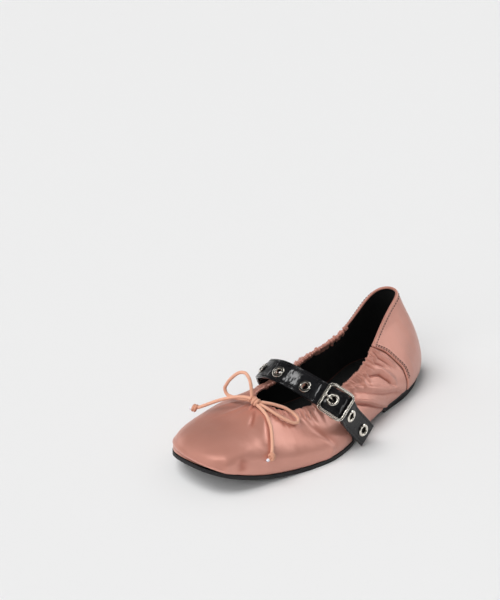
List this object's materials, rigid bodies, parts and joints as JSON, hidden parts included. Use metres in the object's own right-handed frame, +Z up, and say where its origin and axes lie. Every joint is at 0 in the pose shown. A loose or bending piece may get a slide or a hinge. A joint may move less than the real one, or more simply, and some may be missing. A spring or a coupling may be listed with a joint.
{
  "type": "ballet flat",
  "caption": "Low left ballet flat with a rounded toe, an open collar, a strap over the instep fastened by a square buckle, and a thin cord bow at the throat.",
  "frame": {"origin": "on the floor, under the middle of the shoe's box without the bow's cord", "axes": "+Z up, -Y towards the toe, +Y towards the heel, +X towards the lateral side of the left shoe"},
  "size_m": [0.0968, 0.244, 0.0702],
  "materials": {
    "satin": "smooth rose satin",
    "sole_rubber": "matt black",
    "sock": "matt black",
    "strap_leather": "glossy crinkled black",
    "metal": "polished nickel",
    "cord": "ribbed elastic cord, peach"
  },
  "bodies": {
    "root": {"outsole": "sole_rubber", "heel": "sole_rubber", "insole": "sock", "upper": "satin", "strap": "strap_leather", "buckle_strap": "strap_leather", "buckle_frame": "metal", "buckle_prong": "metal", "eyelet_1": "metal", "eyelet_2": "metal", "eyelet_3": "metal", "eyelet_4": "metal", "eyelet_5": "metal", "eyelet_6": "metal", "eyelet_7": "metal", "bow_knot": "cord", "bow_loop_medial": "cord", "bow_loop_lateral": "cord", "bow_tail_medial": "cord", "bow_tail_lateral": "cord", "tail_knot_medial": "cord", "tail_knot_lateral": "cord"}
  },
  "joints": []
}
